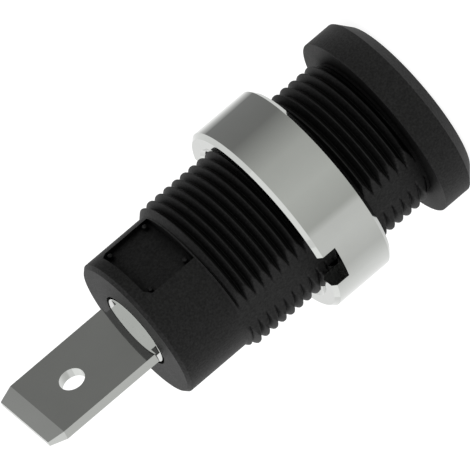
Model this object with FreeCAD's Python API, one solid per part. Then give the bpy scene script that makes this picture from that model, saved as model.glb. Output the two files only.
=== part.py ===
"""Safety banana socket for a panel: moulded insulator, slotted ring nut, turned contact and flat tab.

Millimetres. The socket stands on the front face of its flange, with the plug's mouth underneath.
The origin is the centre of that face. +Z runs along the axis to the tab's tip, X runs across the
tab's width and is square to the barrel's flats, and Y is square to the tab's broad face.
"""

import FreeCAD, Part
import math
import os

# Driving dimensions of the barrel, the flange in front of it and the boss behind it
BARREL_WALL = 1.85
THREAD_DEPTH = 0.46
BARREL_LENGTH = 16.3
FLAT_DEPTH = 0.5
RELIEF_WIDTH = 0.5
LEAD_IN = 0.5
FLANGE_RIM = 1.25
FLANGE_THICKNESS = 3.0
FLANGE_EDGE_HEIGHT = 0.85
FLANGE_EDGE_WIDTH = 0.95
BOSS_STEP = 0.5
BOSS_LENGTH = 5.2
BOSS_EDGE = 0.25

# Driving dimensions of the pad on the boss
PAD_WIDTH = 5.5
PAD_DEPTH = 1.1
PAD_REAR_MARGIN = 1.09
PAD_CORNER_CUT = 0.4
PAD_PIN_DIAMETER = 0.36
PAD_PIN_HEIGHT = 0.45
PAD_PIN_SIDE_MARGIN = 0.42
PAD_PIN_END_MARGIN = 0.5

# Driving dimensions of the contact, a tube for the plug's pin with a barbed collar behind it
PLUG_PIN_DIAMETER = 4.0
CONTACT_TUBE_WALL = 0.5
CONTACT_END_WALL = 5.1
CONTACT_MOUTH_LEAD_IN = 0.2
DRILL_POINT_ANGLE = 118.0
COLLAR_SHOULDER = 0.25
COLLAR_LENGTH = 3.6
COLLAR_EDGE = 0.1
BARB_LENGTH = 0.8
BARB_SETBACK = 0.7
BARB_COUNT = 2
CONTACT_CLEARANCE = 0.05
BARB_CLEARANCE = 0.01

# Driving dimensions of the mouth: the guard tube round the contact, and the well round that
GUARD_TUBE_WALL = 0.7
GUARD_SETBACK = 0.5
GUARD_NOSE_LENGTH = 1.3
ENTRY_CLEARANCE = 0.2
ENTRY_LEAD_IN = 0.35
WELL_WIDTH = 0.9
WELL_END_WALL = 0.7
WELL_LEAD_IN = 0.3

# Driving dimensions of the flat tab
TAB_WIDTH = 6.3
TAB_THICKNESS = 0.8
TAB_LENGTH = 9.85
TAB_NECK_MARGIN = 0.15
TAB_NECK_LENGTH = 0.56
TAB_BEVEL_LENGTH = 1.23
TAB_BEVEL_DEPTH = 0.2
TAB_BEVEL_INSET = 0.37
TAB_HOLE_DIAMETER = 1.85
TAB_HOLE_TO_TIP = 4.34
TAB_TANG_WIDTH = 3.2
TAB_TANG_LENGTH = 2.0

# Driving dimensions of the ring nut
NUT_PROUD = 0.25
NUT_LENGTH = 5.0
NUT_EDGE = 0.3
NUT_MOUTH_EDGE = 0.35
NUT_GAP_TO_FLANGE = 5.05
NUT_SLOT_WIDTH = 3.0
NUT_SLOT_DEPTH = 1.35
NUT_CLEARANCE = 0.05

# Heights along the axis, from the flange's front face
BARREL_REAR_Z = FLANGE_THICKNESS + BARREL_LENGTH
BOSS_REAR_Z = BARREL_REAR_Z + BOSS_LENGTH
CONTACT_FRONT_Z = GUARD_SETBACK + GUARD_NOSE_LENGTH
COLLAR_FRONT_Z = BOSS_REAR_Z - COLLAR_LENGTH
TAB_TIP_Z = BOSS_REAR_Z + TAB_LENGTH
NUT_FRONT_Z = FLANGE_THICKNESS + NUT_GAP_TO_FLANGE

# Radii, from the axis outwards to the M12 thread's crests, the flange and the nut
PLUG_PIN_RADIUS = PLUG_PIN_DIAMETER / 2
CONTACT_TUBE_RADIUS = PLUG_PIN_RADIUS + CONTACT_TUBE_WALL
COLLAR_RADIUS = CONTACT_TUBE_RADIUS + COLLAR_SHOULDER
GUARD_TUBE_RADIUS = CONTACT_TUBE_RADIUS + CONTACT_CLEARANCE + GUARD_TUBE_WALL
WELL_RADIUS = GUARD_TUBE_RADIUS + WELL_WIDTH
THREAD_RADIUS = WELL_RADIUS + BARREL_WALL
THREAD_ROOT_RADIUS = THREAD_RADIUS - THREAD_DEPTH
BOSS_RADIUS = THREAD_RADIUS - BOSS_STEP
FLANGE_RADIUS = THREAD_RADIUS + FLANGE_RIM
NUT_RADIUS = FLANGE_RADIUS + NUT_PROUD

ORIGIN = FreeCAD.Vector(0, 0, 0)
ALONG_Y = FreeCAD.Vector(0, 1, 0)
ALONG_Z = FreeCAD.Vector(0, 0, 1)


def turned(profile):
    """Revolve a closed outline of (radius, height) points about the axis."""
    points = [FreeCAD.Vector(radius, 0, height) for radius, height in profile]
    face = Part.Face(Part.makePolygon(points + points[:1]))
    return face.revolve(ORIGIN, ALONG_Z, 360)


def block(width, depth, height, centre_x, bottom):
    """A box centred on the given X and on Y = 0 that stands on the given height."""
    corner = FreeCAD.Vector(centre_x - width / 2, -depth / 2, bottom)
    return Part.makeBox(width, depth, height, corner)


def rectangle(width, depth, height):
    """A closed rectangular outline about the axis, lying flat at the given height."""
    corners = [(-1, -1), (1, -1), (1, 1), (-1, 1), (-1, -1)]
    return Part.makePolygon([FreeCAD.Vector(x * width / 2, y * depth / 2, height) for x, y in corners])


def insulator_blank():
    """Flange, barrel and boss as turned, before anything is cut out."""
    relief_rear = FLANGE_THICKNESS + RELIEF_WIDTH
    return turned([
        (0, 0),
        (FLANGE_RADIUS - FLANGE_EDGE_WIDTH, 0),
        (FLANGE_RADIUS, FLANGE_EDGE_HEIGHT),
        (FLANGE_RADIUS, FLANGE_THICKNESS),
        (THREAD_ROOT_RADIUS, FLANGE_THICKNESS),
        (THREAD_ROOT_RADIUS, relief_rear),
        (THREAD_RADIUS, relief_rear + THREAD_DEPTH),
        (THREAD_RADIUS, BARREL_REAR_Z - LEAD_IN),
        (BOSS_RADIUS, BARREL_REAR_Z),
        (BOSS_RADIUS, BOSS_REAR_Z - BOSS_EDGE),
        (BOSS_RADIUS - BOSS_EDGE, BOSS_REAR_Z),
        (0, BOSS_REAR_Z),
    ])


def barrel_flats():
    """The two slabs whose cuts leave the barrel's flats, one each side along X."""
    slab = 2 * THREAD_RADIUS
    centre_x = THREAD_RADIUS - FLAT_DEPTH + slab / 2
    return [
        block(slab, slab, BARREL_LENGTH, side * centre_x, FLANGE_THICKNESS) for side in (-1, 1)
    ]


def shroud_well():
    """The ring-shaped well for the plug's shroud, and the set-back of the guard tube's nose."""
    well_end = BARREL_REAR_Z - WELL_END_WALL
    return turned([
        (0, 0),
        (WELL_RADIUS + WELL_LEAD_IN, 0),
        (WELL_RADIUS, WELL_LEAD_IN),
        (WELL_RADIUS, well_end),
        (GUARD_TUBE_RADIUS, well_end),
        (GUARD_TUBE_RADIUS, GUARD_SETBACK),
        (0, GUARD_SETBACK),
    ])


def contact_hole():
    """The stepped hole for the contact, and the touch-safe entry in the guard tube's nose."""
    entry = PLUG_PIN_RADIUS + ENTRY_CLEARANCE
    tube_hole = CONTACT_TUBE_RADIUS + CONTACT_CLEARANCE
    collar_hole = COLLAR_RADIUS + CONTACT_CLEARANCE
    return turned([
        (0, GUARD_SETBACK),
        (entry + ENTRY_LEAD_IN, GUARD_SETBACK),
        (entry, GUARD_SETBACK + ENTRY_LEAD_IN),
        (entry, CONTACT_FRONT_Z),
        (tube_hole, CONTACT_FRONT_Z),
        (tube_hole, COLLAR_FRONT_Z),
        (collar_hole, COLLAR_FRONT_Z),
        (collar_hole, BOSS_REAR_Z),
        (0, BOSS_REAR_Z),
    ])


def pad_recess():
    """The flat-floored pocket in the boss, from the barrel's end, with its rear corners cut off."""
    half = PAD_WIDTH / 2
    floor = BOSS_RADIUS - PAD_DEPTH
    rear = BOSS_REAR_Z - PAD_REAR_MARGIN
    outline = [
        (-half, BARREL_REAR_Z),
        (half, BARREL_REAR_Z),
        (half, rear - PAD_CORNER_CUT),
        (half - PAD_CORNER_CUT, rear),
        (PAD_CORNER_CUT - half, rear),
        (-half, rear - PAD_CORNER_CUT),
        (-half, BARREL_REAR_Z),
    ]
    wire = Part.makePolygon([FreeCAD.Vector(x, floor, z) for x, z in outline])
    return Part.Face(wire).extrude(ALONG_Y * (THREAD_RADIUS - floor))


def pad_pins():
    """Four short pins with chamfered tops, one near each corner of the pad."""
    radius = PAD_PIN_DIAMETER / 2
    floor = BOSS_RADIUS - PAD_DEPTH
    side = PAD_WIDTH / 2 - PAD_PIN_SIDE_MARGIN
    front = BARREL_REAR_Z + PAD_PIN_END_MARGIN
    rear = BOSS_REAR_Z - PAD_REAR_MARGIN - PAD_PIN_END_MARGIN
    pins = []
    for x, z in ((-side, front), (side, front), (-side, rear), (side, rear)):
        foot = FreeCAD.Vector(x, floor - radius, z)
        pin = Part.makeCylinder(radius, PAD_PIN_HEIGHT + radius, foot, ALONG_Y)
        rim = [edge for edge in pin.Edges if edge.BoundBox.YMin > floor]
        pins.append(pin.makeChamfer(radius / 2, rim))
    return pins


def housing():
    """One-piece insulator: flange, barrel with two flats, boss, pad, well and guard tube."""
    body = insulator_blank().cut(barrel_flats())
    body = body.cut([shroud_well(), contact_hole(), pad_recess()])
    return body.fuse(pad_pins()).removeSplitter()


def collar_outline():
    """The collar from its shoulder over a row of saw-tooth barbs to the flush rear edge."""
    barb_radius = COLLAR_RADIUS + CONTACT_CLEARANCE - BARB_CLEARANCE
    outline = [(COLLAR_RADIUS, COLLAR_FRONT_Z)]
    foot = COLLAR_FRONT_Z + BARB_SETBACK
    for _ in range(BARB_COUNT):
        outline.append((COLLAR_RADIUS, foot))
        foot += BARB_LENGTH
        outline.append((barb_radius, foot))
    outline.append((COLLAR_RADIUS, foot))
    outline.append((COLLAR_RADIUS, BOSS_REAR_Z - COLLAR_EDGE))
    outline.append((COLLAR_RADIUS - COLLAR_EDGE, BOSS_REAR_Z))
    return outline


def tab_tang():
    """The tab's tang, sunk in the contact's rear end, where it is pressed in line to line."""
    foot = BOSS_REAR_Z - TAB_TANG_LENGTH
    return block(TAB_TANG_WIDTH, TAB_THICKNESS, TAB_TANG_LENGTH, 0, foot)


def contact_socket():
    """Turned contact: a blind tube for the plug's pin, a barbed collar and a slot for the tang."""
    bore_end = BOSS_REAR_Z - CONTACT_END_WALL
    drill_point = PLUG_PIN_RADIUS / math.tan(math.radians(DRILL_POINT_ANGLE / 2))
    body = turned([
        (0, bore_end + drill_point),
        (PLUG_PIN_RADIUS, bore_end),
        (PLUG_PIN_RADIUS, CONTACT_FRONT_Z + CONTACT_MOUTH_LEAD_IN),
        (PLUG_PIN_RADIUS + CONTACT_MOUTH_LEAD_IN, CONTACT_FRONT_Z),
        (CONTACT_TUBE_RADIUS, CONTACT_FRONT_Z),
        (CONTACT_TUBE_RADIUS, COLLAR_FRONT_Z),
        *collar_outline(),
        (0, BOSS_REAR_Z),
    ])
    return body.cut(tab_tang())


def tab_blade():
    """The blade from its neck to its tip, which is bevelled on both faces and both edges."""
    root = BOSS_REAR_Z + TAB_NECK_LENGTH
    bevel = TAB_TIP_Z - TAB_BEVEL_LENGTH
    blade = block(TAB_WIDTH, TAB_THICKNESS, bevel - root, 0, root)
    tip_width = TAB_WIDTH - 2 * TAB_BEVEL_INSET
    tip_thickness = TAB_THICKNESS - 2 * TAB_BEVEL_DEPTH
    outlines = [
        rectangle(TAB_WIDTH, TAB_THICKNESS, bevel),
        rectangle(tip_width, tip_thickness, TAB_TIP_Z),
    ]
    return blade.fuse(Part.makeLoft(outlines, True, True))


def flat_tab():
    """Stamped tab: tang, narrow neck, bevelled blade and its round hole."""
    neck_width = 2 * (COLLAR_RADIUS - TAB_NECK_MARGIN)
    neck = block(neck_width, TAB_THICKNESS, TAB_NECK_LENGTH, 0, BOSS_REAR_Z)
    hole_foot = FreeCAD.Vector(0, -TAB_THICKNESS, TAB_TIP_Z - TAB_HOLE_TO_TIP)
    hole = Part.makeCylinder(TAB_HOLE_DIAMETER / 2, 2 * TAB_THICKNESS, hole_foot, ALONG_Y)
    return tab_tang().fuse([neck, tab_blade()]).cut(hole).removeSplitter()


def ring_nut():
    """Round nut with chamfered edges and two wrench slots across its rear face."""
    bore = THREAD_RADIUS + NUT_CLEARANCE
    rear = NUT_FRONT_Z + NUT_LENGTH
    body = turned([
        (bore + NUT_MOUTH_EDGE, NUT_FRONT_Z),
        (NUT_RADIUS - NUT_EDGE, NUT_FRONT_Z),
        (NUT_RADIUS, NUT_FRONT_Z + NUT_EDGE),
        (NUT_RADIUS, rear - NUT_EDGE),
        (NUT_RADIUS - NUT_EDGE, rear),
        (bore + NUT_MOUTH_EDGE, rear),
        (bore, rear - NUT_MOUTH_EDGE),
        (bore, NUT_FRONT_Z + NUT_MOUTH_EDGE),
    ])
    slots = block(3 * NUT_RADIUS, NUT_SLOT_WIDTH, NUT_SLOT_DEPTH, 0, rear - NUT_SLOT_DEPTH)
    return body.cut(slots)


def main():
    """Build each piece and write it to its own file."""
    os.makedirs("parts", exist_ok=True)
    for make in (housing, contact_socket, flat_tab, ring_nut):
        make().exportStep("parts/" + make.__name__ + ".step")


main()
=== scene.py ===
"""Looks of a panel-mounted safety banana socket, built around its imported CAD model.

Sizes in the profiles are in millimetres in the model's own frame: the flange's front face stands
on Z = 0, +Z runs to the tab's tip, X runs across the tab's width and Y is square to its broad face.
"""

import math

import bmesh
import bpy
import numpy as np
from mathutils import Matrix, Vector


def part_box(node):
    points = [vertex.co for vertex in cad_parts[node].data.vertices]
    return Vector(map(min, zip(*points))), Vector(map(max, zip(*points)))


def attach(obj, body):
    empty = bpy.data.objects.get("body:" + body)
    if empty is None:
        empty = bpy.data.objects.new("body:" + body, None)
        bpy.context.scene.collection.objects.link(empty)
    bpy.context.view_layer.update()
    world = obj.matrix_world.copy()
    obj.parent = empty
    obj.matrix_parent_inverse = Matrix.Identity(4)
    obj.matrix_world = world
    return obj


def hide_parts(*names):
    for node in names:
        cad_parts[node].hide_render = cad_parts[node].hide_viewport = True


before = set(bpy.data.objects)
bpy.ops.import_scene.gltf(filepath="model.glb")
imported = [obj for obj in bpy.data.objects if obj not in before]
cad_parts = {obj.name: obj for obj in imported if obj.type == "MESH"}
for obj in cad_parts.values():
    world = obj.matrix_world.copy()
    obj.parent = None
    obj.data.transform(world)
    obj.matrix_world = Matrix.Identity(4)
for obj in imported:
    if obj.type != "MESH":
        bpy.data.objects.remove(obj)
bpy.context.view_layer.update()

bl_info = {
    "name": "Safety banana socket looks",
    "version": (1, 0, 0),
    "blender": (4, 5, 0),
    "location": "3D View > Sidebar > Socket",
    "description": "Dresses the packed socket with its thread, pad, tab, nut, finishes and studio",
    "category": "Object",
}

MM = 0.001
FULL_TURN = 2 * math.pi
WELD = 2e-7  # points nearer than this, in metres, become one
SHARP_ANGLE = math.radians(28)
ROUND_STEP = math.radians(1.5)  # widest step between the columns of the insulator
FACING = math.radians(47.5)  # bearing of the camera round the Z axis
SEAM = math.radians(-132.5)  # where turned surfaces close, on the side away from the camera

# Heights and radii of the insulator's outside, as in the solids
FLANGE_FACE_RADIUS = 6.3
FLANGE_RADIUS = 7.25
FLANGE_EDGE = 0.85
FLANGE_REAR = 3.0
BARREL_RADIUS = 6.0
BARREL_REAR = 19.3
FLAT_HALF_WIDTH = 5.5
BOSS_RADIUS = 5.5
BOSS_EDGE = 0.25
BOSS_ROUNDING = 0.06
BOSS_REAR = 24.5

# The mouth: the well for the plug's shroud, and the guard tube with its touch-safe entry
WELL_RADIUS = 4.15
WELL_END = 18.6
WELL_LEAD_IN = 0.3
GUARD_RADIUS = 3.25
GUARD_FRONT = 0.5
ENTRY_RADIUS = 2.2
ENTRY_LEAD_IN = 0.35

# The contact and its hole, which is a little wide at the rear to show the gap round the contact
PLUG_BORE_RADIUS = 2.0
PLUG_BORE_END = 19.4
PLUG_LEAD_IN = 0.2
LEAD_IN_ROUNDING = 0.03
DRILL_POINT = 20.6
TUBE_FRONT = 1.8
TUBE_RADIUS = 2.5
TUBE_ROUNDING = 0.05
TUBE_HOLE_RADIUS = 2.55
COLLAR_FRONT = 20.9
COLLAR_RADIUS = 2.7
COLLAR_HOLE_RADIUS = 2.9
BARB_RADIUS = 2.78
BARB_START = 21.6
BARB_STEPS = (22.4, 23.2)
CONTACT_EDGE = 0.02

# The pins on the pad
PIN_RADIUS = 0.18
PIN_HEIGHT = 0.45
PIN_TOP_EDGE = 0.09
PIN_ROOT = 0.05
PIN_SIDE_MARGIN = 0.42
PIN_END_MARGIN = 0.5

# The flat tab: half widths and half thicknesses, and heights
TANG_HALF_WIDTH = 1.6
TANG_FOOT = 22.5
NECK_HALF_WIDTH = 2.6
TAB_ROOT = 24.94
TAB_HALF_WIDTH = 3.15
TAB_HALF_THICKNESS = 0.4
TAB_BEVEL = 33.12
TIP_HALF_WIDTH = 2.78
TIP_HALF_THICKNESS = 0.2
TAB_TIP = 34.35
TAB_HOLE_HEIGHT = TAB_TIP - 4.34
TAB_HOLE_RADIUS = 0.925

# Painted reflections: tones of the floor's glow and the low surround by bearing round the Z axis in
# degrees
STUDIO_TONES = (
    (-180, "#A0A0A0"), (-172, "#C9C9C9"), (-158, "#FFFFFF"), (-95, "#FFFFFF"), (-75, "#F8F8F8"),
    (-48, "#DCDCDB"), (-15, "#E9E9E8"), (4, "#E5E5E4"), (12, "#C4C5C2"), (47, "#D3D4D1"),
    (85, "#C5C6C3"), (128, "#838382"), (172, "#8A8A8A"),
)
OVERHEAD_TONE = "#FAFAFA"  # the surround above a low rise
NEAR_TONE = "#EEEEEE"  # painted light: the floor's glow close to the socket, with no shade in it
LIT_TONE = "#8A8A8A"  # the part of the camera's floor that the lamps light


def linear(hex_code):
    """The linear red, green, blue and alpha of an sRGB colour written as six hex digits."""
    channels = np.array([int(hex_code[i:i + 2], 16) for i in (1, 3, 5)]) / 255
    curve = np.where(channels <= 0.04045, channels / 12.92, ((channels + 0.055) / 1.055) ** 2.4)
    return (*curve.tolist(), 1.0)


def length(name, millimetres, description):
    """A length property whose default is given in millimetres."""
    return bpy.props.FloatProperty(
        name=name, description=description, default=millimetres * MM, unit="LENGTH", precision=5)


def colour(name, hex_code, description):
    """A colour property whose default is given as an sRGB hex value."""
    return bpy.props.FloatVectorProperty(
        name=name, description=description, default=linear(hex_code), size=4, subtype="COLOR",
        min=0, max=1)


class SocketSizes(bpy.types.PropertyGroup):
    """Sizes of the thread, the nut, the pad and the edges."""

    pitch: length("Thread pitch", 0.75, "Rise of the right-hand thread in one turn")
    thread_depth: length("Thread depth", 0.46, "From the thread's crest to its root")
    crest_width: length("Crest width", 0.08, "Flat left on top of each thread ridge")
    root_width: length("Root width", 0.03, "Flat left at the bottom of each groove")
    thread_start: length("Thread start", 3.2, "Height where the thread rises out of the relief")
    crest_height: length("Crest height", 17.96, "Height of one crest on the camera's side")
    nut_play: length("Nut play", 0.04, "Gap between the nut's thread and the barrel's")
    nut_edge: length("Nut edge", 0.3, "Chamfer on the nut's outside edges")
    nut_mouth: length("Nut mouth", 0.35, "Lead-in cone at both ends of the nut's thread")
    slot_width: length("Slot width", 3.0, "Width of the nut's two wrench slots")
    slot_depth: length("Slot depth", 1.35, "Depth of the slots from the nut's rear face")
    pad_width: length("Pad width", 5.5, "Width of the flat pad in the boss")
    pad_floor: length("Pad floor", 4.4, "Distance of the pad's floor from the axis")
    pad_rear: length("Pad rear", 23.41, "Height of the pad's end wall")
    pad_corner: length("Pad corner cut", 0.4, "Cut across the pad's two rear corners")
    moulded_edge: length("Moulded edge", 0.05, "Radius on the insulator's edges")
    turned_edge: length("Turned edge", 0.02, "Radius on the nut's turned edges")
    stamped_edge: length("Stamped edge", 0.04, "Width of the roll-over on the tab's edges")


class SocketColours(bpy.types.PropertyGroup):
    """Colours of the plastic, the plating and the studio."""

    polyamide: colour("Polyamide", "#020202", "Black moulded insulator")
    polyamide_pale: colour("Polyamide, pale grain", "#050505", "Tops of the moulded grain")
    nickel: colour("Nickel", "#CED0CD", "Nickel plating on the nut and the contact")
    nickel_worn: colour("Nickel, worn", "#C4C6C3", "Nickel plating where it has dulled")
    paper: colour("Paper", "#FFFFFF", "Floor and background as the camera sees them")


def settings():
    """The sizes in millimetres by name, and the colours' property group."""
    scene = bpy.context.scene
    names = SocketSizes.__annotations__
    return {name: getattr(scene.socket_sizes, name) / MM for name in names}, scene.socket_colours


def rounded(corners, segments=4):
    """The points of an outline whose corners are rounded.

    Each corner is (first, second, radius). An arc of that radius touches both sides of the corner:
    it starts and ends at radius / tan(half the corner's angle) from it, and its points swing
    evenly about its centre. A point half a radius further out on each side keeps the long face
    beside the arc shaded flat. A radius of nought keeps the corner.
    """
    points = []
    count = len(corners)
    for i, (a, b, radius) in enumerate(corners):
        corner = np.array((a, b))
        if not radius:
            points.append(corner)
            continue
        before = np.array(corners[i - 1][:2]) - corner
        after = np.array(corners[(i + 1) % count][:2]) - corner
        before, after = before / np.linalg.norm(before), after / np.linalg.norm(after)
        half = math.acos(np.clip(before @ after, -1, 1)) / 2
        middle = before + after
        centre = corner + middle / np.linalg.norm(middle) * radius / math.sin(half)
        reach = radius / math.tan(half)
        start = corner + before * reach - centre
        end = corner + after * reach - centre
        sweep = math.pi - 2 * half
        t = np.linspace(0, 1, segments + 1)[:, None]
        arc = (np.sin((1 - t) * sweep) * start + np.sin(t * sweep) * end) / math.sin(sweep)
        points.append(corner + before * (reach + radius / 2))
        points.extend(centre + arc)
        points.append(corner + after * (reach + radius / 2))
    return np.array(points)


def round_angles(marks, step):
    """Angles once round from SEAM, at most step apart in radians, with every mark among them."""
    wrapped = SEAM + (np.array(marks) - SEAM) % FULL_TURN
    stops = np.concatenate(([SEAM], np.sort(wrapped), [SEAM + FULL_TURN]))
    runs = [
        np.linspace(a, b, max(1, math.ceil((b - a) / step)), endpoint=False)
        for a, b in zip(stops[:-1], stops[1:])
    ]
    return np.concatenate(runs + [stops[-1:]])


def even_angles(columns):
    """Angles once round in even steps, the last one a full turn on from the first."""
    return np.linspace(0, FULL_TURN, columns + 1)


def ring_grid(radius, height, angle):
    """Points (radius cos angle, radius sin angle, height) from arrays of one shape."""
    return np.stack([radius * np.cos(angle), radius * np.sin(angle), height], axis=-1)


def build(name, grids, material, sharp_angle=SHARP_ANGLE):
    """One object from grids of points in millimetres, each closed over its rows.

    Rows run round the profile and columns along it. The last row joins the first, points that
    coincide are welded, which closes seams and poles, and faces are turned outwards.
    """
    vertices, faces, start = [], [], 0
    for points in grids:
        rows, columns = points.shape[:2]
        index = start + np.arange(rows * columns).reshape(rows, columns)
        below = np.roll(index, -1, axis=0)
        faces.append(np.stack(
            [index[:, :-1], index[:, 1:], below[:, 1:], below[:, :-1]], axis=-1).reshape(-1, 4))
        vertices.append(points.reshape(-1, 3))
        start += rows * columns
    vertices, faces = np.concatenate(vertices) * MM, np.concatenate(faces)
    mesh = bpy.data.meshes.new(name)
    mesh.from_pydata(vertices, [], faces)
    shape = bmesh.new()
    shape.from_mesh(mesh)
    bmesh.ops.remove_doubles(shape, verts=shape.verts, dist=WELD)
    bmesh.ops.dissolve_degenerate(shape, edges=shape.edges, dist=WELD)
    bmesh.ops.recalc_face_normals(shape, faces=shape.faces)
    shape.to_mesh(mesh)
    shape.free()
    mesh.shade_smooth()
    mesh.set_sharp_from_angle(angle=sharp_angle)
    mesh.materials.append(material)
    piece = bpy.data.objects.new(name, mesh)
    bpy.context.scene.collection.objects.link(piece)
    return piece


def place(piece, body, node):
    """The piece rides on a body and stands for a CAD node, which is hidden."""
    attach(piece, body)
    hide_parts(node)


def thread_radius(offset, sizes):
    """Barrel radius at an offset along the axis from a crest's centre.

    Flat on the crest, flat at the root, and a straight flank between them.
    """
    away = np.abs((offset + sizes["pitch"] / 2) % sizes["pitch"] - sizes["pitch"] / 2)
    flank = (sizes["pitch"] - sizes["crest_width"] - sizes["root_width"]) / 2
    fall = np.clip((away - sizes["crest_width"] / 2) / flank, 0, 1)
    return BARREL_RADIUS - sizes["thread_depth"] * fall


def helix_lines(bottom, top, angle, sizes):
    """Heights and crest offsets of lines that climb with the thread, cut at two heights.

    Line k at an angle lies at the crest's height there plus its own offset, so a turn further
    round it meets the line one pitch on. Lines past an end are held at that end. A pitch has a
    line at both edges of the crest and of the root, and three more on each flank.
    """
    pitch, crest, root = sizes["pitch"], sizes["crest_width"] / 2, sizes["root_width"] / 2
    flank_lines = 5
    rear_flank = np.linspace(crest, pitch / 2 - root, flank_lines)
    next_flank = np.linspace(pitch / 2 + root, pitch - crest, flank_lines)
    one_pitch = np.concatenate([[-crest], rear_flank, next_flank[:-1]])
    climb = sizes["crest_height"] + pitch * (angle - FACING) / FULL_TURN
    first = math.floor((bottom - climb.max()) / pitch) - 1
    last = math.ceil((top - climb.min()) / pitch) + 1
    offsets = (np.arange(first, last)[:, None] * pitch + one_pitch[None, :]).reshape(-1, 1)
    height = np.clip(climb[None, :] + offsets, bottom, top)
    return height, height - climb[None, :]


def barrel_rows(angle, sizes):
    """Threaded barrel: the least of the thread, the run-out, the lead-in and the two flats.

    The run-out opens at 45 degrees from the thread's start, the lead-in closes at 45 degrees
    towards the boss, and a flat at X = c has the radius c / |cos angle|.
    """
    height, offset = helix_lines(sizes["thread_start"], BARREL_REAR, angle, sizes)
    root = BARREL_RADIUS - sizes["thread_depth"]
    radius = np.minimum.reduce([
        thread_radius(offset, sizes),
        root + height - sizes["thread_start"],
        BOSS_RADIUS + (BARREL_REAR - height),
        np.broadcast_to(flat_radius(angle), height.shape),
    ])
    return ring_grid(radius, height, angle[None, :])


def flat_radius(angle):
    """Radius of the two flats at each angle: their distance over |cos angle|, kept finite."""
    return FLAT_HALF_WIDTH / np.maximum(np.abs(np.cos(angle)), 1e-6)


def pad_rows(angle, first, last, sizes):
    """Boss with its pad: rows from the barrel's end to behind the pad's end wall.

    Columns first to last hold the pad. In a sunk row the two outer ones stay on the boss and the
    others lie on the floor. The half-width draws in towards the cut corners, and the last row
    brings the columns back to their even spread.
    """
    half, floor, rear = sizes["pad_width"] / 2, sizes["pad_floor"], sizes["pad_rear"]
    cut, spread = sizes["pad_corner"], 0.3
    rows = []
    for height, width, sunk in (
        (BARREL_REAR, half, True), (rear - cut, half, True), (rear, half - cut, True),
        (rear, half - cut, False), (rear + spread, half, False),
    ):
        row = ring_grid(np.full_like(angle, BOSS_RADIUS), np.full_like(angle, height), angle)
        x = row[first:last + 1, 0] * width / half
        row[first:last + 1, 0] = x
        row[first:last + 1, 1] = np.sqrt(BOSS_RADIUS ** 2 - x ** 2)
        if sunk:
            row[first + 1:last, 1] = floor
        rows.append(row)
    return np.array(rows)


def pin_grid(x, z, floor):
    """A pin on the pad: a turned profile about a line along Y, closed at both ends.

    At an angle, its points are (x + radius sin angle, floor + rise, z + radius cos angle).
    """
    top_radius = PIN_RADIUS - PIN_TOP_EDGE
    profile = np.array([
        (0, -PIN_ROOT), (PIN_RADIUS, -PIN_ROOT), (PIN_RADIUS, PIN_HEIGHT - PIN_TOP_EDGE),
        (top_radius, PIN_HEIGHT), (0, PIN_HEIGHT)])
    angle = even_angles(24)
    radius, rise = profile[:, :1], np.broadcast_to(profile[:, 1:], (len(profile), len(angle)))
    return np.stack([x + radius * np.sin(angle), floor + rise, z + radius * np.cos(angle)], axis=-1)


def revolve(profile, angle):
    """Rings of an outline of (radius, height) points at the given angles."""
    return ring_grid(profile[:, :1] + 0 * angle, profile[:, 1:] + 0 * angle, angle[None, :])


def insulator_grid(sizes):
    """Insulator from the plug's entry outwards, up the outside and down the contact's hole.

    Turned rows lead over the guard tube, the well and the flange. The relief is the lesser of its
    own radius and the flats. Then come the threaded barrel, the boss with its pad, and turned rows
    again over the boss's end and down its hole. All share the same columns: one at each edge of a
    flat, on the crests and at the root, and two at each of the pad's corners, for boss and floor.
    """
    depth, edge = sizes["thread_depth"], sizes["moulded_edge"]
    corner = math.acos(sizes["pad_width"] / 2 / BOSS_RADIUS)
    crest = math.acos(FLAT_HALF_WIDTH / BARREL_RADIUS)
    root = math.acos(FLAT_HALF_WIDTH / (BARREL_RADIUS - depth))
    marks = [side + turn for side in (0, math.pi) for turn in (-crest, -root, crest, root)]
    marks += [corner, corner, math.pi - corner, math.pi - corner]
    angle = round_angles(marks, ROUND_STEP)
    first = int(np.argmin(np.abs(angle - corner)))
    last = int(np.argmin(np.abs(angle - (math.pi - corner)))) + 1
    front = rounded([
        (ENTRY_RADIUS, TUBE_FRONT, 0), (ENTRY_RADIUS, GUARD_FRONT + ENTRY_LEAD_IN, edge),
        (ENTRY_RADIUS + ENTRY_LEAD_IN, GUARD_FRONT, edge), (GUARD_RADIUS, GUARD_FRONT, edge),
        (GUARD_RADIUS, WELL_END, 0), (WELL_RADIUS, WELL_END, 0), (WELL_RADIUS, WELL_LEAD_IN, edge),
        (WELL_RADIUS + WELL_LEAD_IN, 0, edge), (FLANGE_FACE_RADIUS, 0, edge),
        (FLANGE_RADIUS, FLANGE_EDGE, edge), (FLANGE_RADIUS, FLANGE_REAR, edge),
        (BARREL_RADIUS - depth, FLANGE_REAR, 0)])
    relief_radius = np.minimum(flat_radius(angle), BARREL_RADIUS - depth)
    relief = ring_grid(relief_radius, np.full_like(angle, FLANGE_REAR), angle)[None]
    rear = rounded([
        (BOSS_RADIUS, BARREL_REAR, 0), (BOSS_RADIUS, BOSS_REAR - BOSS_EDGE, BOSS_ROUNDING),
        (BOSS_RADIUS - BOSS_EDGE, BOSS_REAR, BOSS_ROUNDING),
        (COLLAR_HOLE_RADIUS, BOSS_REAR, CONTACT_EDGE), (COLLAR_HOLE_RADIUS, COLLAR_FRONT, 0),
        (TUBE_HOLE_RADIUS, COLLAR_FRONT, 0), (TUBE_HOLE_RADIUS, TUBE_FRONT, 0)])[1:]
    return np.concatenate([
        revolve(front[:-1], angle), relief, barrel_rows(angle, sizes),
        pad_rows(angle, first, last, sizes), revolve(rear, angle)])


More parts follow.
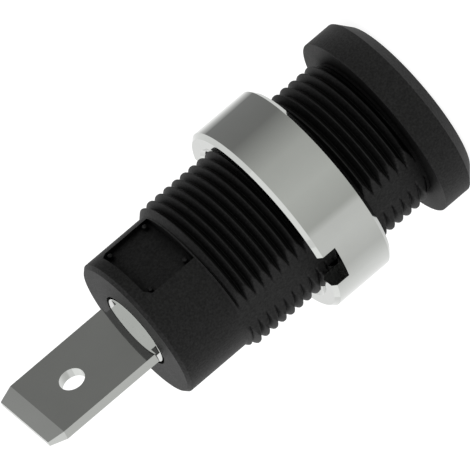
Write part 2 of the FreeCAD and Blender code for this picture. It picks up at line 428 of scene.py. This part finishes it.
def nut_grid(bottom, top, outer, sizes):
    """Ring nut: rows go up the outside and back down the bore, and its slots cut them off.

    A column keeps its share of a slot, or of the turn between two slots, at every radius. In a
    slot that share is of its width, Y = share times half the width, which keeps its walls flat and
    parallel, and its columns go no higher than its floor. Elsewhere the share is of the angle. The
    bore is the greater of the barrel's thread with its play and the 45 degree cones at the ends.
    """
    slot_half, slot_floor = sizes["slot_width"] / 2, top - sizes["slot_depth"]
    chamfer, edge = sizes["nut_edge"], sizes["turned_edge"]
    slot_columns, turn_columns = 17, 113
    slot_share, turn_share = np.linspace(-1, 1, slot_columns), np.linspace(0, 1, turn_columns)
    shares = [slot_share, turn_share, slot_share, turn_share, [-1]]
    share = np.concatenate(shares)
    part = np.repeat(np.arange(len(shares)), [len(values) for values in shares])

    def column_angles(radius):
        """Angle of each column at a radius, from its share."""
        wall = np.arcsin(slot_half / radius)
        across = np.arcsin(np.clip(slot_half * share / radius, -1, 1))
        between = wall + share * (math.pi - 2 * wall)
        return np.choose(part, [
            across, between, math.pi + across, math.pi + between, FULL_TURN + across])

    outside = rounded([
        (BARREL_RADIUS, bottom, 0), (outer - chamfer, bottom, edge),
        (outer, bottom + chamfer, edge), (outer, top - chamfer, edge),
        (outer - chamfer, top, edge), (BARREL_RADIUS, top, 0)])[1:-1]
    thread_angle = column_angles(BARREL_RADIUS)
    height, offset = helix_lines(bottom, top, thread_angle, sizes)
    cone = BARREL_RADIUS + sizes["nut_mouth"] - np.minimum(height - bottom, top - height)
    bore = np.maximum(thread_radius(offset, sizes) + sizes["nut_play"], cone)
    radius = np.concatenate([outside[:, :1] + 0 * thread_angle, bore[::-1]])
    height = np.concatenate([outside[:, 1:] + 0 * thread_angle, height[::-1]])
    slotted = np.isin(part, (0, 2, 4))[None, :]
    height = np.where(slotted, np.minimum(height, slot_floor), height)
    return ring_grid(radius, height, column_angles(radius))


def tab_grid():
    """Flat tab: rings over one face from the hole to the rim, and back over the other.

    Columns stand at even steps along each side of the outline. The rim's ring follows the outline
    and is thinner at the tip. The face's ring is the same at full thickness, with the tip's points
    moved down to where the bevel starts. A point of the hole lies on its circle, on the bearing
    that its partner on the face has from the hole's centre.
    """
    half_outline = [
        (TANG_HALF_WIDTH, TANG_FOOT), (TANG_HALF_WIDTH, BOSS_REAR), (NECK_HALF_WIDTH, BOSS_REAR),
        (NECK_HALF_WIDTH, TAB_ROOT), (TAB_HALF_WIDTH, TAB_ROOT), (TAB_HALF_WIDTH, TAB_BEVEL),
        (TIP_HALF_WIDTH, TAB_TIP)]
    outline = np.array(half_outline + [(-x, z) for x, z in half_outline[::-1]])
    at_tip = outline[:, 1] > TAB_BEVEL
    inner = outline.copy()
    inner[at_tip] = np.column_stack([
        np.sign(outline[at_tip, 0]) * TAB_HALF_WIDTH, np.full(at_tip.sum(), TAB_BEVEL)])
    depth = np.where(at_tip, TIP_HALF_THICKNESS, TAB_HALF_THICKNESS)
    side_steps = 40
    share = np.linspace(0, 1, side_steps, endpoint=False)[None, :, None]

    def spread(corners):
        """Points at even steps along each side of a closed outline, and its start again."""
        closed = np.concatenate([corners, corners[:1]])
        points = closed[:-1, None] * (1 - share) + closed[1:, None] * share
        return np.concatenate([points.reshape(-1, corners.shape[1]), corners[:1]])

    def layer(points, y):
        """Points (x, y, z) from (x, z) pairs and one y, or a y for each."""
        return np.column_stack([points[:, 0], np.broadcast_to(y, len(points)), points[:, 1]])

    rim = spread(np.column_stack([outline, depth]))
    face = spread(inner)
    bearing = np.arctan2(face[:, 1] - TAB_HOLE_HEIGHT, face[:, 0])
    hole = np.column_stack([np.cos(bearing), np.sin(bearing)]) * TAB_HOLE_RADIUS
    hole[:, 1] += TAB_HOLE_HEIGHT
    return np.array([
        layer(hole, TAB_HALF_THICKNESS), layer(face, TAB_HALF_THICKNESS), layer(rim, rim[:, 2]),
        layer(rim, -rim[:, 2]), layer(face, -TAB_HALF_THICKNESS), layer(hole, -TAB_HALF_THICKNESS)])


def add_node(tree, kind, inputs=None, **options):
    """Adds a node, sets its options, and sets each named input or links it to a socket."""
    node = tree.nodes.new(kind)
    for key, value in options.items():
        setattr(node, key, value)
    for key, value in (inputs or {}).items():
        if isinstance(value, bpy.types.NodeSocket):
            tree.links.new(value, node.inputs[key])
        else:
            node.inputs[key].default_value = value
    return node


def new_material(name):
    """An empty material and its node tree."""
    material = bpy.data.materials.new(name)
    material.use_nodes = True
    material.node_tree.nodes.clear()
    return material, material.node_tree


def finish_material(tree, shader):
    """Links a shader to the material's surface."""
    add_node(tree, "ShaderNodeOutputMaterial", {"Surface": shader.outputs[0]})


def moulded_polyamide(colours):
    """Black glass-filled polyamide, moulded in a spark-eroded tool.

    The eye gets a satin black that lightens at a glancing angle, a fine even grain and slightly
    uneven gloss. Shade is painted into recesses such as the thread's grooves and the pad, where an
    occlusion test turns the gloss down. The real grain is about 0.05 mm, finer than a pixel, so it
    is drawn at 0.16 mm.
    """
    grain_size, patch_size, grain_height, crevice_shade_reach = 0.16, 2.5, 0.03, 3.0
    material, tree = new_material("moulded_polyamide_black")
    spot = add_node(tree, "ShaderNodeTexCoord").outputs["Object"]
    grain = add_node(tree, "ShaderNodeTexNoise", {
        "Vector": spot, "Scale": 1 / (grain_size * MM), "Detail": 2.0, "Roughness": 0.6})
    patches = add_node(tree, "ShaderNodeTexNoise", {
        "Vector": spot, "Scale": 1 / (patch_size * MM), "Detail": 2.0})
    tint = add_node(tree, "ShaderNodeMix", {
        "Factor": grain.outputs["Fac"], "A": tuple(colours.polyamide),
        "B": tuple(colours.polyamide_pale)}, data_type="RGBA")
    gloss = add_node(tree, "ShaderNodeMapRange", {
        "Value": patches.outputs["Fac"], "To Min": 0.54, "To Max": 0.62})
    bump = add_node(tree, "ShaderNodeBump", {
        "Height": grain.outputs["Fac"], "Strength": 0.5, "Distance": grain_height * MM})
    glint = add_node(tree, "ShaderNodeMapRange", {
        "Value": grain.outputs["Fac"], "From Min": 0.3, "From Max": 0.7,
        "To Min": 0.2, "To Max": 0.37})
    # Painted shade: an occlusion test turns the gloss down to a tenth in the grooves, the pad and
    # other recesses.
    crevice_shade = add_node(tree, "ShaderNodeAmbientOcclusion", {
        "Distance": crevice_shade_reach * MM}, samples=8, only_local=True)
    crevice_shade_factor = add_node(tree, "ShaderNodeMapRange", {
        "Value": crevice_shade.outputs["AO"], "From Min": 0.25, "From Max": 0.95,
        "To Min": 0.1, "To Max": 1.0})
    level = add_node(tree, "ShaderNodeMath", {
        0: glint.outputs["Result"], 1: crevice_shade_factor.outputs["Result"]}, operation="MULTIPLY")
    shader = add_node(tree, "ShaderNodeBsdfPrincipled", {
        "Base Color": tint.outputs["Result"], "Roughness": gloss.outputs["Result"], "IOR": 1.53,
        "Specular IOR Level": level.outputs[0], "Normal": bump.outputs["Normal"]})
    finish_material(tree, shader)
    return material


def nickel_plate(name, colours, stretch, roughness):
    """Bright nickel plate over machined or rolled brass.

    The eye gets a pale, faintly warm mirror softened by the tool's fine lines, which run along the
    axis where stretch is small. Lines are 0.06 mm apart, coarser than the real ones, to show.
    """
    line_gap, patch_size, line_depth, uneven = 0.06, 3.0, 0.01, 0.05
    material, tree = new_material(name)
    spot = add_node(tree, "ShaderNodeTexCoord").outputs["Object"]
    lined = add_node(tree, "ShaderNodeMapping", {"Vector": spot, "Scale": stretch})
    lines = add_node(tree, "ShaderNodeTexNoise", {
        "Vector": lined.outputs["Vector"], "Scale": 1 / (line_gap * MM), "Detail": 2.0})
    patches = add_node(tree, "ShaderNodeTexNoise", {
        "Vector": spot, "Scale": 1 / (patch_size * MM), "Detail": 3.0})
    tint = add_node(tree, "ShaderNodeMix", {
        "Factor": patches.outputs["Fac"], "A": tuple(colours.nickel),
        "B": tuple(colours.nickel_worn)}, data_type="RGBA")
    gloss = add_node(tree, "ShaderNodeMapRange", {
        "Value": lines.outputs["Fac"], "To Min": roughness, "To Max": roughness + uneven})
    bump = add_node(tree, "ShaderNodeBump", {
        "Height": lines.outputs["Fac"], "Strength": 0.02, "Distance": line_depth * MM})
    shader = add_node(tree, "ShaderNodeBsdfPrincipled", {
        "Base Color": tint.outputs["Result"], "Metallic": 1.0,
        "Roughness": gloss.outputs["Result"], "Normal": bump.outputs["Normal"]})
    finish_material(tree, shader)
    return material


def bearing_tone(tree, vector):
    """Tone of the studio by bearing round the Z axis, and the vector's own height.

    No board or wall stands there: the tone is painted darker on the side of +Y and -X and pale
    round the rest, so plating shows one dark band of painted reflection between soft pale ones.
    """
    axes = add_node(tree, "ShaderNodeSeparateXYZ", {"Vector": vector})
    bearing = add_node(tree, "ShaderNodeMath", {
        0: axes.outputs["Y"], 1: axes.outputs["X"]}, operation="ARCTAN2")
    turn = add_node(tree, "ShaderNodeMapRange", {
        "Value": bearing.outputs[0], "From Min": -math.pi, "From Max": math.pi})
    ramp = add_node(tree, "ShaderNodeValToRGB", {"Fac": turn.outputs["Result"]})
    stops = ramp.color_ramp.elements
    while len(stops) < len(STUDIO_TONES):
        stops.new(0.5)
    for stop, (degrees, tone) in zip(stops, STUDIO_TONES):
        stop.position = (degrees + 180) / 360
        stop.color = linear(tone)
    return ramp.outputs["Color"], axes.outputs["Z"]


class SOCKET_OT_housing(bpy.types.Operator):
    """Build the threaded insulator with its flange, flats, boss and pad"""

    bl_idname = "socket.housing"
    bl_label = "Insulator"

    def execute(self, context):
        sizes, colours = settings()
        side = sizes["pad_width"] / 2 - PIN_SIDE_MARGIN
        ends = (BARREL_REAR + PIN_END_MARGIN, sizes["pad_rear"] - PIN_END_MARGIN)
        pins = [pin_grid(x, z, sizes["pad_floor"]) for x in (-side, side) for z in ends]
        piece = build("threaded_insulator", [insulator_grid(sizes), *pins],
                      moulded_polyamide(colours))
        place(piece, "socket", "housing")
        return {"FINISHED"}


class SOCKET_OT_nut(bpy.types.Operator):
    """Build the ring nut with its two wrench slots and its inside thread"""

    bl_idname = "socket.nut"
    bl_label = "Ring nut"

    def execute(self, context):
        sizes, colours = settings()
        low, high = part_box("ring_nut")
        grid = nut_grid(low.z / MM, high.z / MM, high.x / MM, sizes)
        piece = build("ring_nut_threaded", [grid],
                      nickel_plate("nickel_plated_turned_brass", colours,
                                   stretch=(0.05, 0.05, 1.0), roughness=0.03))
        place(piece, "ring_nut", "ring_nut")
        return {"FINISHED"}


class SOCKET_OT_tab(bpy.types.Operator):
    """Build the stamped flat tab with its hole, neck and bevelled tip"""

    bl_idname = "socket.tab"
    bl_label = "Flat tab"

    def execute(self, context):
        sizes, colours = settings()
        piece = build("flat_tab_blade", [tab_grid()],
                      nickel_plate("nickel_plated_rolled_brass", colours,
                                   stretch=(1.0, 1.0, 0.04), roughness=0.02),
                      sharp_angle=math.radians(5))
        edge = piece.modifiers.new("stamped edge", "BEVEL")
        edge.width = sizes["stamped_edge"] * MM
        edge.segments = 2
        edge.limit_method = "ANGLE"
        edge.angle_limit = math.radians(20)
        edge.harden_normals = True
        place(piece, "socket", "flat_tab")
        return {"FINISHED"}


class SOCKET_OT_contact(bpy.types.Operator):
    """Build the turned contact: the plug's bore, the tube and the collar with its barbs"""

    bl_idname = "socket.contact"
    bl_label = "Contact"

    def execute(self, context):
        _, colours = settings()
        barbs = [(COLLAR_RADIUS, BARB_START, 0)]
        for height in BARB_STEPS:
            barbs += [(BARB_RADIUS, height, 0), (COLLAR_RADIUS, height, 0)]
        outline = rounded([
            (0, DRILL_POINT, 0), (PLUG_BORE_RADIUS, PLUG_BORE_END, 0),
            (PLUG_BORE_RADIUS, TUBE_FRONT + PLUG_LEAD_IN, 0),
            (PLUG_BORE_RADIUS + PLUG_LEAD_IN, TUBE_FRONT, LEAD_IN_ROUNDING),
            (TUBE_RADIUS, TUBE_FRONT, TUBE_ROUNDING), (TUBE_RADIUS, COLLAR_FRONT, 0),
            (COLLAR_RADIUS, COLLAR_FRONT, 0), *barbs, (COLLAR_RADIUS, BOSS_REAR, CONTACT_EDGE),
            (0, BOSS_REAR, 0)])
        piece = build("turned_contact", [revolve(outline, even_angles(144))],
                      nickel_plate("nickel_plated_contact_brass", colours,
                                   stretch=(1.0, 1.0, 1.0), roughness=0.02))
        place(piece, "socket", "contact_socket")
        return {"FINISHED"}


class SOCKET_OT_stage(bpy.types.Operator):
    """Set up the pale floor, the soft light and the camera"""

    bl_idname = "socket.stage"
    bl_label = "Stage"

    def execute(self, context):
        _, colours = settings()
        scene = context.scene
        scene.view_settings.view_transform = "Standard"
        self.add_floor(colours)
        self.light_world(scene, colours)
        self.add_lamps(scene)
        self.add_camera(scene)
        return {"FINISHED"}

    def add_floor(self, colours):
        """A round sheet of paper that glows, without shade, for every ray but the camera's: painted
        light and painted reflections in tones by bearing round the socket.

        In a patch round the socket, which reaches further on the side away from the camera, it
        glows one pale tone, painted light where the socket's own shade would fall. The camera sees
        the whole sheet as plain white paper.
        """
        sheet_radius, sheet_face, sheet_back = 600.0, -0.02, -1.0
        patch_centre, patch_radius, patch_end = (-4.0 * MM, -4.4 * MM, 0.0), 14 * MM, 16 * MM
        profile = np.array([
            (0, sheet_face), (sheet_radius, sheet_face), (sheet_radius, sheet_back),
            (0, sheet_back)])
        material, tree = new_material("graded_paper")
        spot = add_node(tree, "ShaderNodeTexCoord").outputs["Object"]
        ramp, _ = bearing_tone(tree, spot)
        from_centre = add_node(tree, "ShaderNodeVectorMath", {
            0: spot, 1: patch_centre}, operation="SUBTRACT")
        away = add_node(tree, "ShaderNodeVectorMath", {
            0: from_centre.outputs["Vector"]}, operation="LENGTH")
        beyond = add_node(tree, "ShaderNodeMapRange", {
            "Value": away.outputs["Value"], "From Min": patch_radius, "From Max": patch_end})
        tone = add_node(tree, "ShaderNodeMix", {
            "Factor": beyond.outputs["Result"], "A": linear(NEAR_TONE), "B": ramp},
            data_type="RGBA")
        # Painted light: the sheet glows in these tones for reflections and bounced light, and casts
        # no shade.
        graded = add_node(tree, "ShaderNodeEmission", {
            "Color": tone.outputs["Result"], "Strength": 1.0})
        paper = add_node(tree, "ShaderNodeEmission", {
            "Color": tuple(colours.paper), "Strength": 0.9})
        lit = add_node(tree, "ShaderNodeBsdfDiffuse", {"Color": linear(LIT_TONE)})
        seen = add_node(tree, "ShaderNodeAddShader", {0: paper.outputs[0], 1: lit.outputs[0]})
        path = add_node(tree, "ShaderNodeLightPath")
        mix = add_node(tree, "ShaderNodeMixShader", {
            0: path.outputs["Is Camera Ray"], 1: graded.outputs[0], 2: seen.outputs[0]})
        finish_material(tree, mix)
        build("paper_floor", [revolve(profile, even_angles(96))], material)

    def light_world(self, scene, colours):
        """A surround that carries on the floor's tones and grows pale a little way up.

        The camera sees it as the same white as the floor.
        """
        world = bpy.data.worlds.new("pale_surround")
        world.use_nodes = True
        tree = world.node_tree
        tree.nodes.clear()
        path = add_node(tree, "ShaderNodeLightPath")
        direction = add_node(tree, "ShaderNodeTexCoord").outputs["Generated"]
        ramp, height = bearing_tone(tree, direction)
        rise = add_node(tree, "ShaderNodeMapRange", {
            "Value": height, "From Min": 0.02, "From Max": 0.2})
        tone = add_node(tree, "ShaderNodeMix", {
            "Factor": rise.outputs["Result"], "A": ramp, "B": linear(OVERHEAD_TONE)},
            data_type="RGBA")
        soft = add_node(tree, "ShaderNodeBackground", {
            "Color": tone.outputs["Result"], "Strength": 1.0})
        white = add_node(tree, "ShaderNodeBackground", {
            "Color": tuple(colours.paper), "Strength": 1.0})
        mix = add_node(tree, "ShaderNodeMixShader", {
            0: path.outputs["Is Camera Ray"], 1: soft.outputs[0], 2: white.outputs[0]})
        add_node(tree, "ShaderNodeOutputWorld", {"Surface": mix.outputs[0]})
        scene.world = world

    def add_lamps(self, scene):
        """Soft square lamps, each aimed at the barrel.

        Bearing and rise are in degrees, distance and size in metres, and power in watts.
        """
        aim = Vector((0, 0, 15 * MM))
        for name, bearing, rise, distance, size, power in (
            ("key_lamp", -95, 42, 0.6, 0.6, 0.25),
            ("top_lamp", 60, 80, 0.6, 0.6, 0.15),
        ):
            lamp = bpy.data.lights.new(name, "AREA")
            lamp.size, lamp.energy = size, power
            a, b = math.radians(bearing), math.radians(rise)
            away = Vector((math.cos(a) * math.cos(b), math.sin(a) * math.cos(b), math.sin(b)))
            item = bpy.data.objects.new(name, lamp)
            item.matrix_world = Matrix.Translation(aim + away * distance) @ (
                away.to_track_quat("Z", "Y").to_matrix().to_4x4())
            scene.collection.objects.link(item)

    def add_camera(self, scene):
        """A long lens, rolled so that the axis runs down to the left.

        The picture's centre is right of and above the middle of the boss's end.
        """
        towards = Vector((0.662, 0.7225, 0.2)).normalized()
        roll, distance = math.radians(40.33), 0.875
        centre_right, centre_up = 6.67, 6.4
        socket_axis = Vector((0, 0, 1))
        along = (-socket_axis + towards * towards.z).normalized()
        across = along.cross(towards).normalized()
        right = along * math.cos(roll) + across * math.sin(roll)
        up = along * math.sin(roll) - across * math.cos(roll)
        boss_end = Vector((0, 0, BOSS_REAR * MM))
        centre = boss_end + right * centre_right * MM + up * centre_up * MM
        lens = bpy.data.cameras.new("camera")
        lens.lens, lens.sensor_width = 1000, 36
        lens.clip_start, lens.clip_end = 0.05, 5
        camera = bpy.data.objects.new("camera", lens)
        where = centre + towards * distance
        camera.matrix_world = Matrix((
            (right.x, up.x, towards.x, where.x), (right.y, up.y, towards.y, where.y),
            (right.z, up.z, towards.z, where.z), (0, 0, 0, 1)))
        scene.collection.objects.link(camera)
        scene.camera = camera


OPERATORS = (SOCKET_OT_stage, SOCKET_OT_housing, SOCKET_OT_contact, SOCKET_OT_tab, SOCKET_OT_nut)


class SOCKET_PT_panel(bpy.types.Panel):
    """Lists the socket's sizes, colours and pieces"""

    bl_label = "Safety banana socket"
    bl_idname = "SOCKET_PT_panel"
    bl_space_type = "VIEW_3D"
    bl_region_type = "UI"
    bl_category = "Socket"

    def draw(self, context):
        column = self.layout.column()
        for group in (context.scene.socket_sizes, context.scene.socket_colours):
            for name in group.__annotations__:
                column.prop(group, name)
        for operator in OPERATORS:
            column.operator(operator.bl_idname)


CLASSES = (SocketSizes, SocketColours, *OPERATORS, SOCKET_PT_panel)


def register():
    """Register the classes and hang the two property groups on the scene."""
    for item in CLASSES:
        bpy.utils.register_class(item)
    bpy.types.Scene.socket_sizes = bpy.props.PointerProperty(type=SocketSizes)
    bpy.types.Scene.socket_colours = bpy.props.PointerProperty(type=SocketColours)


def unregister():
    """Undo what register does."""
    del bpy.types.Scene.socket_colours
    del bpy.types.Scene.socket_sizes
    for item in reversed(CLASSES):
        bpy.utils.unregister_class(item)


def main():
    """Build every piece in order."""
    register()
    for operator in OPERATORS:
        group, name = operator.bl_idname.split(".")
        getattr(getattr(bpy.ops, group), name)()


if __name__ == "__main__":
    main()
